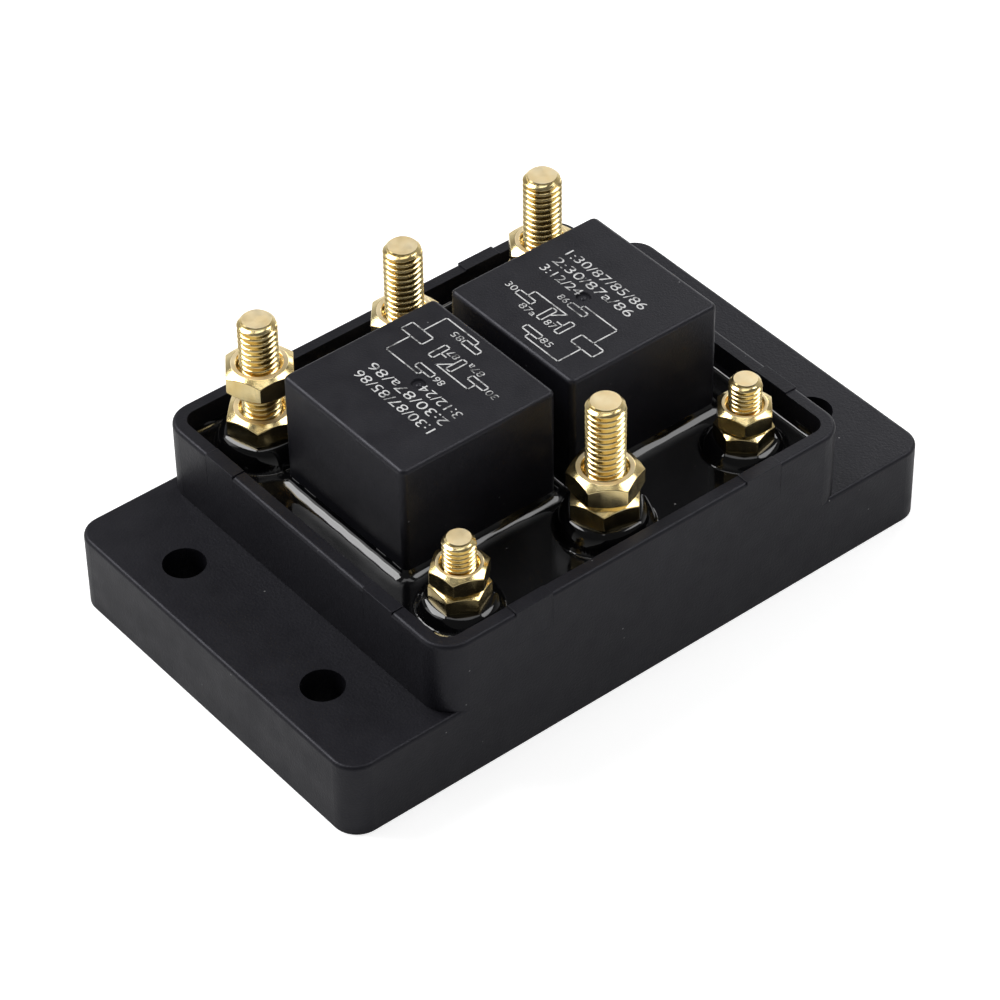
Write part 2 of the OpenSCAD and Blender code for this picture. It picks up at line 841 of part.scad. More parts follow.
relay_coil(right);  // relay_b_coil
relay_core(right);  // relay_b_core
relay_yoke(right);  // relay_b_yoke
relay_armature(right);  // relay_b_armature
relay_contact_spring(right);  // relay_b_contact_spring
relay_moving_contact(right);  // relay_b_moving_contact
relay_open_contact(right);  // relay_b_open_contact
relay_closed_contact(right);  // relay_b_closed_contact
relay_terminal_30(right);  // relay_b_terminal_30
relay_terminal_85(right);  // relay_b_terminal_85
relay_terminal_86(right);  // relay_b_terminal_86
relay_terminal_87(right);  // relay_b_terminal_87
relay_terminal_87a(right);  // relay_b_terminal_87a
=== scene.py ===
"""The looks of a heavy-duty relay module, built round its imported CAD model. Tables are in millimetres."""
import json
import math

import bmesh
import bpy
import numpy as np
from mathutils import Matrix, Vector


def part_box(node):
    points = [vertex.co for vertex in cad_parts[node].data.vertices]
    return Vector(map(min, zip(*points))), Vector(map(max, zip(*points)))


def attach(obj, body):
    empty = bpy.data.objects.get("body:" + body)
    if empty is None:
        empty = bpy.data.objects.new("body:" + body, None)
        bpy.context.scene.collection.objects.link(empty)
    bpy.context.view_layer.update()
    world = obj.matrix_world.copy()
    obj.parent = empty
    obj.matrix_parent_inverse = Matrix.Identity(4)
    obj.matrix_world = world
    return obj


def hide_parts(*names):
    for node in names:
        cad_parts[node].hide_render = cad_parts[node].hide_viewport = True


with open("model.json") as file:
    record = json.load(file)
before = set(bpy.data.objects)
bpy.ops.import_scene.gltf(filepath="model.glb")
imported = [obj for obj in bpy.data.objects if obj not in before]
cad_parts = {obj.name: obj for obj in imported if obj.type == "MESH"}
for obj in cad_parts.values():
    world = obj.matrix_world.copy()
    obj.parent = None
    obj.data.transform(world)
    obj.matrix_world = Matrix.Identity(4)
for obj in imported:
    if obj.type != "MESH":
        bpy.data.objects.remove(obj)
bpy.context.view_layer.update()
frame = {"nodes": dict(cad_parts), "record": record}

MM = 0.001

# The photograph's camera, worked out from the housing's corners
CAMERA_AZIMUTH = -38.5954
CAMERA_ELEVATION = 41.5485
CAMERA_ROLL = -0.9053
CAMERA_TARGET = Vector((-0.0464, 0.9864, 9.6364))
CAMERA_DISTANCE = 600.590
CAMERA_LENS = 143.989
CAMERA_SENSOR = 36
CAMERA_CLIP_START = 0.01

# Edges sharper than this many degrees stay sharp
SHARP = 35.0
SHARP_ON_NUTS = 20.0
SHARP_ON_RESIN = 60.0
# Distances in metres under which points are one and faces are dropped
SAME_POINT = 0.000002
NO_FACE = 0.000001
BEVEL_SEGMENTS = 2
FACE_WEIGHT = 100

# Threads, nuts and heads
COLUMNS = 48
# Share of the pitch and share of the depth, from one crest to the next
THREAD_ROWS = (
    (-0.085, 0.93), (-0.045, 0.99), (0.0, 1.0), (0.045, 0.99), (0.085, 0.93), (0.18, 0.66), (0.27, 0.33),
    (0.36, 0.05), (0.43, 0.0), (0.57, 0.0), (0.64, 0.05), (0.73, 0.33), (0.82, 0.66),
)
THREAD_DEPTH_SHARE = 0.6134
THREAD_SPARE_TURNS = 3
SIZES = {
    "M6": {
        "radius": 3.0, "pitch": 1.0, "across": 10.0, "head": 4.0, "tip": 2.24, "shank": 8.0,
        "lower_nuts": "lower_nuts_large",
    },
    "M5": {
        "radius": 2.5, "pitch": 0.8, "across": 8.0, "head": 3.5, "tip": 1.8, "shank": 6.5,
        "lower_nuts": "lower_nuts_small",
    },
}
TIP_CROWN = 0.05
TIP_RINGS = (1, 0.75, 0.4, 0.1)
HEAD_FILLET = 0.25
HEAD_MIDDLE_SHARE = 0.3
NUT_RING_SHARE = 0.855
NUT_CHAMFER = math.tan(math.radians(30))
NUT_SINK_SHARE = 1.19
NUT_CLEARANCE = 0.05
NUT_EDGE = 0.11
NUT_EDGE_ANGLE = 25.0
# Faces whose normal's z is past this are cut ends and seats
FLAT_END = 0.98

# Name: size, turn of the lower nut, turn of the upper nut, in degrees of a corner from +X
STUDS = {
    "motor_a": ("M6", 46.0, 54.4),
    "positive": ("M6", 40.0, 49.4),
    "motor_b": ("M6", 22.0, 55.0),
    "control_a": ("M5", 27.0, 39.6),
    "negative": ("M6", 48.0, 23.9),
    "control_b": ("M5", 14.0, 49.4),
}

# Resin
RESIN_LEVEL = 21.5
RESIN_FLOOR = 3.05
RESIN_BITE = 0.3
RESIN_STEP = 0.25
WELL_X = 36.0
WELL_Y = 31.3
WELL_CORNER = 2.4
# Width and rise of the creep up a wall
WALL_MENISCUS = (1.2, 0.9)
RELAY_MENISCUS = (2.6, 1.45)
# Waves of the surface and of the feet: radians a millimetre along x and along y, and a start
SURFACE_WAVES = ((0.31, 0.0, 1.1), (0.0, 0.27, -0.4), (0.53, -0.44, 0.0))
SURFACE_WAVE_HEIGHT = 0.03
THIRD_WAVE_SHARE = 0.6
FOOT_WAVES = ((0.83, 0.61, 0.0), (0.37, -0.92, 0.0))
FOOT_WOBBLE = 0.05
PIT_FLOOR = 16.0
BEAD_REACH = 1.8
# How a bead's foot wanders: size, waves round the stud, and their shift from one stud to the next
BEAD_WANDER = ((0.12, 2, 1.7), (0.05, 5, 2.3))
BEAD_RISE = 0.6
BEAD_BLEND = 0.6
BEAD_ROUND = 0.72
BEAD_SUNK = 0.3
# Under a nut the resin lies a little lower, within a slightly narrower hexagon
UNDER_NUT_NARROWER = 0.5
UNDER_NUT_DROP = 0.05

# Relay covers
RELAY_HALF = 14.0
RELAY_CORNER = 1.0
RELAY_EDGE = 0.7
RELAY_SHELL = 0.5
RELAY_WALL = 0.9
DIMPLE_RADIUS = 1.1
DIMPLE_DEPTH = 0.32
DIMPLE_LIP = 0.08
PIP_RADIUS = 0.4
PIP_HEIGHT = 0.2
ARC_STEPS = 6
QUARTERS = ((1, 1), (-1, 1), (-1, -1), (1, -1))

# Pads across the housing's rim
PAD_LENGTH = 6.6
PAD_LOW = 19.8
PAD_TOP = 26.0
PAD_X = 21.6
PAD_Y = 18.75
WALL_THICK = 2.2
PAD_INSET = 0.01
PAD_OVERLAP = 0.02
PAD_EDGE = 0.07
BLOCK_FACES = ((3, 2, 1, 0), (4, 5, 6, 7), (0, 1, 5, 4), (1, 2, 6, 5), (2, 3, 7, 6), (3, 0, 4, 7))

# Looks
COOL_TINT = (0.9, 0.9, 1.0, 1)
DUST = (0.35, 0.35, 0.35)
RESIN_DUST = (0.3, 0.3, 0.3)
PLASTIC_SPREAD = 0.05
METAL_SPREAD = (-0.05, 0.09)

# Studio, in metres
FLOOR_HALF = 6.0
FLOOR_HEIGHT = -0.00005
FLOOR_GLOW = 0.62
FLOOR_GLOW_IN_MIRRORS = 0.05
SKY_HORIZON = 0.6
SKY_TOP = 0.12
SKY_SLOPE = 0.57
SKY_BAND = 0.22
LAMP_TARGET = (0, 0, 0.02)
# Name, place, size, brightness
LAMPS = (
    ("back_left_box", (-0.22, 0.38, 0.56), (0.36, 0.32), 8.8),
    ("back_left_low", (-0.46, 0.42, 0.42), (0.26, 0.26), 1.5),
    ("front_right_box", (0.39, -0.18, 0.56), (0.34, 0.32), 4.6),
    ("overhead", (0.02, 0.02, 0.8), (0.35, 0.35), 1.6),
    ("back_right_panel", (0.62, 0.36, 0.36), (0.3, 0.3), 3.5),
)

# Print on the relays, measured from the middle of each top, u to the text's right and v up the text
PRINT_THICK = 0.03
PRINT_SINK = 0.01
STROKE = 0.22
# Any thickness does for the letters, because they are stretched to the print's
LETTER_EXTRUDE = 0.5
LETTER_OFFSET = -0.006
LETTER_RESOLUTION = 4
# Words, left, right, base, height
TEXT_ROWS = (
    ("1:30/87/85/86", -9.5, 7.8, 4.35, 1.66),
    ("2:30/87a/86", -9.5, 7.8, 1.8, 1.66),
    ("3:12/24", -9.5, -0.9, -0.65, 1.6),
    ("86", -2.5, -0.55, -3.1, 1.2),
    ("30", -9.75, -7.7, -7.0, 1.2),
    ("87a", -4.6, -1.35, -8.7, 1.2),
    ("87", 0.75, 2.75, -8.4, 1.2),
    ("85", 3.6, 5.75, -11.5, 1.2),
)
# Left, base, right, top
PIN_BOXES = (
    (-0.07, -3.13, 3.6, -2.07), (-0.33, -11.4, 3.27, -10.33), (-7.27, -7.07, -3.6, -6.0),
    (-0.93, -8.27, 0.13, -5.07), (3.23, -8.4, 4.3, -5.13), (6.6, -8.0, 11.47, -5.8),
)
LEADS = (
    ((1.73, -2.07), (1.73, -1.27), (9.17, -1.27), (9.17, -5.8)),
    ((1.5, -11.4), (1.5, -12.4), (9.0, -12.4), (9.0, -8.0)),
    ((-5.5, -6.0), (-5.5, -4.57), (1.73, -4.57), (0.27, -6.4)),
    ((2.07, -6.67), (3.23, -6.67)),
)


def node(tree, kind, **values):
    """A shader node whose sockets and settings are given by name."""
    made = tree.nodes.new(kind)
    for name, value in values.items():
        if hasattr(made, name) and name not in made.inputs:
            setattr(made, name, value)
        else:
            made.inputs[name.replace("_", " ")].default_value = value
    return made


def new_material(name):
    """A new material with its tree, its Principled shader and its object coordinates."""
    material = bpy.data.materials.new(name)
    material.use_nodes = True
    tree = material.node_tree
    tree.nodes.clear()
    output = node(tree, "ShaderNodeOutputMaterial")
    shader = node(tree, "ShaderNodeBsdfPrincipled")
    place = node(tree, "ShaderNodeTexCoord")
    tree.links.new(shader.outputs["BSDF"], output.inputs["Surface"])
    return material, tree, shader, place.outputs["Object"]


def noise(tree, place, scale, detail=3.0, rough=0.5, stretch=(1, 1, 1)):
    """Noise at a scale in features a metre, stretched along the axes."""
    mapping = node(tree, "ShaderNodeMapping", Scale=stretch)
    tree.links.new(place, mapping.inputs["Vector"])
    made = node(tree, "ShaderNodeTexNoise", Scale=scale, Detail=detail, Roughness=rough)
    tree.links.new(mapping.outputs["Vector"], made.inputs["Vector"])
    return made.outputs["Fac"]


def ranged(tree, value, source, target):
    """A value carried from one range to another."""
    low, high = source
    to_low, to_high = target
    made = node(tree, "ShaderNodeMapRange", From_Min=low, From_Max=high, To_Min=to_low, To_Max=to_high)
    tree.links.new(value, made.inputs["Value"])
    return made.outputs["Result"]


def combined(tree, operation, a, b):
    """Two values combined by a kind of sum."""
    made = node(tree, "ShaderNodeMath", operation=operation)
    tree.links.new(a, made.inputs[0])
    tree.links.new(b, made.inputs[1])
    return made.outputs["Value"]


def blended(tree, share, first, second):
    """A colour between two, by a share. The first may be another node's output."""
    made = node(tree, "ShaderNodeMix", data_type="RGBA")
    if isinstance(first, tuple):
        made.inputs["A"].default_value = (*first, 1)
    else:
        tree.links.new(first, made.inputs["A"])
    made.inputs["B"].default_value = (*second, 1)
    tree.links.new(share, made.inputs["Factor"])
    return made.outputs["Result"]


def coloured(tree, shader, colour):
    """The shader takes its colour from another node's output."""
    tree.links.new(colour, shader.inputs["Base Color"])


def roughened(tree, shader, height, source, roughness):
    """Roughness that follows a height from one value to another."""
    tree.links.new(ranged(tree, height, source, roughness), shader.inputs["Roughness"])


def bumped(tree, shader, *heights):
    """Bumps one on another: each is a height, a strength and a depth in metres."""
    normal = None
    for height, strength, distance in heights:
        made = node(tree, "ShaderNodeBump", Strength=strength, Distance=distance)
        tree.links.new(height, made.inputs["Height"])
        if normal is not None:
            tree.links.new(normal, made.inputs["Normal"])
        normal = made.outputs["Normal"]
    tree.links.new(normal, shader.inputs["Normal"])


def specks(tree, place, scale, size):
    """A share that is one on small scattered dust specks."""
    cells = node(tree, "ShaderNodeTexVoronoi", Scale=scale)
    tree.links.new(place, cells.inputs["Vector"])
    near = ranged(tree, cells.outputs["Distance"], (size, 0.0), (0.0, 1.0))
    sparse = ranged(tree, noise(tree, place, scale * 0.31, detail=1.0), (0.6, 0.68), (0.0, 1.0))
    return combined(tree, "MULTIPLY", near, sparse)


def plastic(name, dark, light, roughness, grain, strength, specular):
    """Moulded plastic with a fine grain, faint flow tones and a few specks of dust."""
    material, tree, shader, place = new_material(name)
    tone = blended(tree, noise(tree, place, 70.0, detail=4.0), dark, light)
    coloured(tree, shader, blended(tree, specks(tree, place, 420.0, size=0.07), tone, DUST))
    spread = (roughness - PLASTIC_SPREAD, roughness + PLASTIC_SPREAD)
    roughened(tree, shader, noise(tree, place, 240.0), (0.3, 0.7), spread)
    shader.inputs["Specular IOR Level"].default_value = specular
    shader.inputs["Specular Tint"].default_value = COOL_TINT
    bumped(
        tree, shader,
        (noise(tree, place, grain, detail=2.0), strength, 0.00004),
        (noise(tree, place, 60.0, detail=2.0), 0.12, 0.0002),
    )
    return material


def metal(name, dark, light, roughness, brush=(1, 1, 1), scratch=0.25):
    """Metal with tarnish tones, uneven polish and fine scratches along the brush direction."""
    material, tree, shader, place = new_material(name)
    tarnish = ranged(tree, noise(tree, place, 320.0, detail=4.0), (0.35, 0.65), (0.0, 1.0))
    coloured(tree, shader, blended(tree, tarnish, dark, light))
    polish = noise(tree, place, 900.0, rough=0.6, stretch=brush)
    spread = tuple(roughness + change for change in METAL_SPREAD)
    roughened(tree, shader, polish, (0.3, 0.7), spread)
    shader.inputs["Metallic"].default_value = 1.0
    bumped(
        tree, shader,
        (noise(tree, place, 2600.0, detail=2.0, rough=0.6, stretch=brush), scratch, 0.00002),
        (noise(tree, place, 420.0, detail=2.0), 0.2, 0.00003),
    )
    return material


def resin_material():
    """Poured black resin: a deep gloss with slow ripples and a few specks."""
    material, tree, shader, place = new_material("resin_gloss")
    black = (0.0022, 0.0022, 0.0026)
    coloured(tree, shader, blended(tree, specks(tree, place, 300.0, size=0.06), black, RESIN_DUST))
    roughened(tree, shader, noise(tree, place, 180.0), (0.35, 0.65), (0.06, 0.11))
    shader.inputs["IOR"].default_value = 1.5
    bumped(
        tree, shader,
        (noise(tree, place, 120.0, detail=1.0), 0.12, 0.0004),
        (noise(tree, place, 1500.0, detail=2.0), 0.03, 0.00002),
    )
    return material


def board_material():
    """Green solder mask with darker tracks under it and a fine weave."""
    material, tree, shader, place = new_material("board_mask")
    tracks = node(tree, "ShaderNodeTexBrick", Scale=160.0)
    tree.links.new(place, tracks.inputs["Vector"])
    edges = tracks.outputs["Fac"]
    coloured(tree, shader, blended(tree, edges, (0.008, 0.06, 0.025), (0.014, 0.1, 0.045)))
    roughened(tree, shader, noise(tree, place, 500.0), (0.3, 0.7), (0.3, 0.42))
    bumped(tree, shader, (edges, 0.3, 0.00004), (noise(tree, place, 3000.0), 0.2, 0.00001))
    return material


def winding_material():
    """Enamelled copper wire, wound in close turns, with painted shade in the grooves between them."""
    material, tree, shader, place = new_material("coil_winding")
    wave = node(tree, "ShaderNodeTexWave", Scale=1100.0, Distortion=0.6, Detail=1.0, bands_direction="Z")
    tree.links.new(place, wave.inputs["Vector"])
    turns = wave.outputs["Fac"]
    # The colour goes darker with the turns' height towards the grooves between them: painted shade.
    coloured(tree, shader, blended(tree, turns, (0.12, 0.035, 0.01), (0.5, 0.2, 0.07)))
    shader.inputs["Metallic"].default_value = 0.6
    roughened(tree, shader, noise(tree, place, 400.0), (0.3, 0.7), (0.22, 0.34))
    bumped(tree, shader, (turns, 0.8, 0.00008))
    return material


def print_material():
    """Pale pad-printed ink, thin and worn away in small spots."""
    material, tree, shader, place = new_material("printed_ink")
    worn = ranged(tree, noise(tree, place, 520.0, detail=4.0, rough=0.7), (0.36, 0.5), (0.0, 1.0))
    coloured(tree, shader, blended(tree, worn, (0.09, 0.09, 0.09), (0.62, 0.62, 0.62)))
    roughened(tree, shader, noise(tree, place, 1400.0), (0.3, 0.7), (0.5, 0.62))
    bumped(tree, shader, (noise(tree, place, 3000.0), 0.15, 0.00002))
    return material


def floor_material():
    """White paper: it glows for the camera, hardly at all in mirrors, and takes the object's shadow."""
    material, tree, shader, _ = new_material("studio_floor")
    shader.inputs["Base Color"].default_value = (0.8, 0.8, 0.8, 1)
    shader.inputs["Roughness"].default_value = 0.9
    shader.inputs["Specular IOR Level"].default_value = 0.0
    path = node(tree, "ShaderNodeLightPath")
    glow = ranged(tree, path.outputs["Is Glossy Ray"], (0.0, 1.0), (0.0, FLOOR_GLOW_IN_MIRRORS))
    for kind in ("Is Camera Ray", "Is Transmission Ray"):
        bright = ranged(tree, path.outputs[kind], (0.0, 1.0), (0.0, FLOOR_GLOW))
        glow = combined(tree, "MAXIMUM", glow, bright)
    tree.links.new(glow, shader.inputs["Emission Strength"])
    shader.inputs["Emission Color"].default_value = (1, 1, 1, 1)
    return material


def make_materials():
    """Every material slot of the record with its own shader, and the duller finish of cut brass."""
    black = ((0.0045, 0.0043, 0.0062), (0.0078, 0.0075, 0.0104))
    relay_black = ((0.0062, 0.006, 0.0082), (0.0092, 0.0089, 0.0118))
    ivory = ((0.42, 0.39, 0.32), (0.55, 0.52, 0.44))
    brass = ((0.86, 0.65, 0.28), (0.95, 0.79, 0.42))
    cut_brass = ((0.9, 0.72, 0.4), (0.97, 0.83, 0.55))
    copper = ((0.5, 0.2, 0.1), (0.72, 0.36, 0.2))
    iron = ((0.3, 0.3, 0.31), (0.5, 0.5, 0.5))
    silver = ((0.6, 0.59, 0.56), (0.8, 0.8, 0.78))
    return {
        "housing_plastic": plastic(
            "housing_black", *black, roughness=0.44, grain=2600.0, strength=0.9, specular=0.3,
        ),
        "relay_plastic": plastic(
            "relay_black", *relay_black, roughness=0.42, grain=3200.0, strength=0.6, specular=0.36,
        ),
        "base_plastic": plastic(
            "base_ivory", *ivory, roughness=0.5, grain=2600.0, strength=0.3, specular=0.5,
        ),
        "resin": resin_material(),
        "board": board_material(),
        "copper": metal("bar_copper", *copper, roughness=0.3, brush=(1, 6, 1)),
        "enamelled_copper": winding_material(),
        "brass": metal("stud_brass", *brass, roughness=0.18, brush=(1, 1, 0.15), scratch=0.4),
        "cut_brass": metal("cut_brass", *cut_brass, roughness=0.5, scratch=0.4),
        "soft_iron": metal("relay_iron", *iron, roughness=0.34, brush=(6, 1, 1)),
        "contact_silver": metal("contact_silver", *silver, roughness=0.26),
    }


def linked(name, data):
    """An object of a mesh, a curve, a lamp or a camera, in the scene."""
    made = bpy.data.objects.new(name, data)
    bpy.context.scene.collection.objects.link(made)
    return made


def add_piece(name, points, faces, material, body, slot, sharp=SHARP):
    """A mesh piece, smooth but for its sharp edges, that rides on a body."""
    mesh = bpy.data.meshes.new(name)
    mesh.from_pydata([tuple(p) for p in points], [], faces)
    work = bmesh.new()
    work.from_mesh(mesh)
    bmesh.ops.remove_doubles(work, verts=work.verts, dist=SAME_POINT)
    bmesh.ops.dissolve_degenerate(work, edges=work.edges, dist=NO_FACE)
    bmesh.ops.recalc_face_normals(work, faces=work.faces)
    work.to_mesh(mesh)
    work.free()
    mesh.polygons.foreach_set("use_smooth", [True] * len(mesh.polygons))
    mesh.set_sharp_from_angle(angle=math.radians(sharp))
    mesh.materials.append(material)
    piece = linked(name, mesh)
    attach(piece, body)
    return piece


def bevel(piece, width, angle=SHARP):
    """A narrow rounded edge on everything sharper than an angle."""
    made = piece.modifiers.new("edge", "BEVEL")
    made.width = width * MM
    made.segments = BEVEL_SEGMENTS
    made.limit_method = "ANGLE"
    made.angle_limit = math.radians(angle)
    made.harden_normals = True


def weigh(piece):
    """Flat faces keep a flat shine beside rounded edges."""
    made = piece.modifiers.new("weighed", "WEIGHTED_NORMAL")
    made.keep_sharp = True
    made.weight = FACE_WEIGHT


def middle(name):
    """The middle of a CAD node's box."""
    low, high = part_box(name)
    return (low + high) / 2


def gather(points, faces, more_points, more_faces):
    """Adds the points and faces of one part to a piece's lists."""
    start = len(points)
    points.extend(more_points)
    faces.extend(tuple(start + i for i in face) for face in more_faces)


def ring(centre, angles, radii, height):
    """Points round a vertical axis, in metres."""
    radii = np.broadcast_to(radii, angles.shape)
    heights = np.broadcast_to(height, angles.shape)
    return np.stack([centre.x + radii * np.cos(angles), centre.y + radii * np.sin(angles), heights], 1)


def square_ring(centre, half, corner, height):
    """Points round an upright rounded square, all in metres."""
    angles = np.radians(np.linspace(0, 90, ARC_STEPS + 1))
    points = []
    for quarter, (sign_x, sign_y) in enumerate(QUARTERS):
        turned = angles + quarter * math.pi / 2
        x = centre.x + (half - corner) * sign_x + corner * np.cos(turned)
        y = centre.y + (half - corner) * sign_y + corner * np.sin(turned)
        points.append(np.stack([x, y, np.full(len(x), height)], 1))
    return np.concatenate(points)


def lofted(rings, closed=False, open_start=False):
    """Points and faces of the skin over rings of one count.

    A closed skin joins its last ring to its first. Any other skin ends in a face, and it also starts with one
    unless its start stays open.
    """
    count = len(rings[0])
    points = np.concatenate(rings)
    faces = []
    pairs = len(rings) if closed else len(rings) - 1
    for i in range(pairs):
        a = i * count
        b = (i + 1) % len(rings) * count
        for j in range(count):
            k = (j + 1) % count
            faces.append((a + j, a + k, b + k, b + j))
    if not closed and not open_start:
        faces.append(tuple(range(count))[::-1])
    if not closed:
        faces.append(tuple(range(pairs * count, len(points))))
    return points, faces


def hex_radii(angles, turn, across):
    """Distance from the axis to a hexagon at each angle, with a corner at the turn."""
    within = np.mod(angles - turn, math.pi / 3) - math.pi / 6
    return across / 2 / np.cos(within)


def column_angles(turn):
    """The columns' directions, one of them on each corner of the hexagon."""
    return turn + np.arange(COLUMNS) * 2 * math.pi / COLUMNS


def chamfered(angles, turn, size):
    """A hexagon's radii, the radius of the flat ring on its end, and how far its chamfer drops."""
    across = size["across"] * MM
    hexagon = hex_radii(angles, turn, across)
    flat = NUT_RING_SHARE * across / 2
    return hexagon, flat, (hexagon - flat) * NUT_CHAMFER


def dull_ends(piece, material):
    """The faces that look straight up or down get a duller finish, as cut ends and seats have."""
    piece.data.materials.append(material)
    for face in piece.data.polygons:
        if abs(face.normal.z) > FLAT_END:
            face.material_index = 1


def thread_rings(centre, angles, size, low, high):
    """Rings of a right-hand thread from low to high, with a chamfered tip."""
    pitch = size["pitch"] * MM
    radius = size["radius"] * MM
    tip = size["tip"] * MM
    depth = THREAD_DEPTH_SHARE * pitch
    rise = pitch * np.arange(COLUMNS) / COLUMNS
    rings = []
    for turn in range(int((high - low) / pitch) + THREAD_SPARE_TURNS):
        for along, share in THREAD_ROWS:
            heights = low + (turn - 1 + along) * pitch + rise
            radii = np.full(COLUMNS, radius - depth * (1 - share))
            radii = np.minimum(radii, tip + np.maximum(high - heights, 0))
            radii = np.where(heights <= low, radius, radii)
            rings.append(ring(centre, angles, radii, np.clip(heights, low, high)))
    return rings


def thread_faces(rows):
    """Quads between a thread's rows, whose last column joins the first one turn further up."""
    faces = []
    per_turn = len(THREAD_ROWS)
    for i in range(rows - per_turn - 1):
        for j in range(COLUMNS):
            k = (j + 1) % COLUMNS
            up = per_turn if k == 0 else 0
            a = i * COLUMNS
            b = (i + up) * COLUMNS
            faces.append((a + j, b + k, b + COLUMNS + k, a + COLUMNS + j))
    return faces


def crown_rings(centre, angles, size, tip_edge):
    """The slightly domed end of a stud."""
    rings = []
    for share in TIP_RINGS:
        height = tip_edge + TIP_CROWN * MM * (1 - share ** 2)
        rings.append(ring(centre, angles, size["tip"] * MM * share, height))
    return rings


def stem_rings(centre, angles, turn, size, bottom, head_top, shank_top):
    """The plain shank and the chamfered head under a thread, from the top down."""
    radius = size["radius"]
    hexagon, flat, drop = chamfered(angles, turn, size)
    return [
        ring(centre, angles, radius * MM, shank_top),
        ring(centre, angles, radius * MM, head_top + HEAD_FILLET * MM),
        ring(centre, angles, (radius + HEAD_FILLET) * MM, head_top),
        ring(centre, angles, hexagon, head_top),
        ring(centre, angles, hexagon, bottom + drop),
        ring(centre, angles, flat, bottom),
        ring(centre, angles, flat * HEAD_MIDDLE_SHARE, bottom),
    ]


def add_stud(name, brass, cut_brass):
    """A brass bolt seen as a stud: its thread, its chamfered tip, its plain shank and its head."""
    kind, turn, _ = STUDS[name]
    size = SIZES[kind]
    cad = "stud_" + name
    low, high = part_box(cad)
    centre = middle(cad)
    turn = math.radians(turn)
    angles = column_angles(turn)
    head_top = low.z + size["head"] * MM
    shank_top = head_top + size["shank"] * MM
    tip_edge = high.z - TIP_CROWN * MM
    thread = thread_rings(centre, angles, size, shank_top, tip_edge)
    crown = crown_rings(centre, angles, size, tip_edge)
    stem = stem_rings(centre, angles, turn, size, low.z, head_top, shank_top)
    points = list(np.concatenate(thread))
    faces = thread_faces(len(thread))
    gather(points, faces, *lofted(crown, open_start=True))
    gather(points, faces, *lofted(stem, open_start=True))
    piece = add_piece("stud_" + name + "_threaded", points, faces, brass, "module", "brass")
    dull_ends(piece, cut_brass)
    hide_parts(cad)


def nut_rings(centre, turn, size, low, high):
    """The closed section of a chamfered hexagon nut, as rings."""
    angles = column_angles(turn)
    hexagon, flat, drop = chamfered(angles, turn, size)
    bore = (size["radius"] + NUT_CLEARANCE) * MM
    sink = size["radius"] * NUT_SINK_SHARE * MM
    return [
        ring(centre, angles, bore, low + (sink - bore)),
        ring(centre, angles, sink, low),
        ring(centre, angles, flat, low),
        ring(centre, angles, hexagon, low + drop),
        ring(centre, angles, hexagon, high - drop),
        ring(centre, angles, flat, high),
        ring(centre, angles, sink, high),
        ring(centre, angles, bore, high - (sink - bore)),
    ]


def add_nut(name, centre, turn, size, cad, body, brass, cut_brass):
    """A chamfered nut as high as a CAD node, which it replaces."""
    low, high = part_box(cad)
    rings = nut_rings(centre, math.radians(turn), size, low.z, high.z)
    skin = lofted(rings, closed=True)
    piece = add_piece(name, *skin, brass, body, "brass", SHARP_ON_NUTS)
    dull_ends(piece, cut_brass)
    bevel(piece, NUT_EDGE, NUT_EDGE_ANGLE)
    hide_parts(cad)


def add_upper_nut(name, brass, cut_brass):
    """A loose nut that travels along its stud."""
    kind, _, turn = STUDS[name]
    cad = "nut_" + name
    add_nut(cad + "_chamfered", middle(cad), turn, SIZES[kind], cad, cad, brass, cut_brass)


def add_lower_nuts(kind, brass, cut_brass):
    """The nuts of one size that hold the studs, half sunk in the resin, as one piece each."""
    size = SIZES[kind]
    for name, (stud_kind, turn, _) in STUDS.items():
        if stud_kind == kind:
            centre = middle("stud_" + name)
            add_nut("lower_nut_" + name, centre, turn, size, size["lower_nuts"], "module", brass, cut_brass)


def rounded_distance(x, y, half_x, half_y, corner):
    """Distance outside a rounded rectangle, below zero inside it."""
    dx = np.abs(x) - (half_x - corner)
    dy = np.abs(y) - (half_y - corner)
    outside = np.hypot(np.maximum(dx, 0), np.maximum(dy, 0))
    return outside + np.minimum(np.maximum(dx, dy), 0) - corner


def relay_distance(x, y, side):
    """Distance outside a relay's cover, below zero inside it."""
    place = middle("relay_%s_cover" % side) / MM
    return rounded_distance(x - place.x, y - place.y, RELAY_HALF, RELAY_HALF, RELAY_CORNER)


def climb(distance, meniscus):
    """How far a meniscus of a width and a rise climbs a wall at a distance from it."""
    width, rise = meniscus
    inside = np.clip((width - distance) / width, 0, 1)
    return rise * (1 - np.sqrt(1 - inside ** 2))


def smooth_maximum(a, b, blend):
    """The higher of two heights, with the crease between them filled."""
    near = np.clip(blend - np.abs(a - b), 0, blend)
    return np.maximum(a, b) + near ** 2 / (4 * blend)


def waves(x, y, table):
    """The angles of a table's waves over the well."""
    return [along_x * x + along_y * y + start for along_x, along_y, start in table]


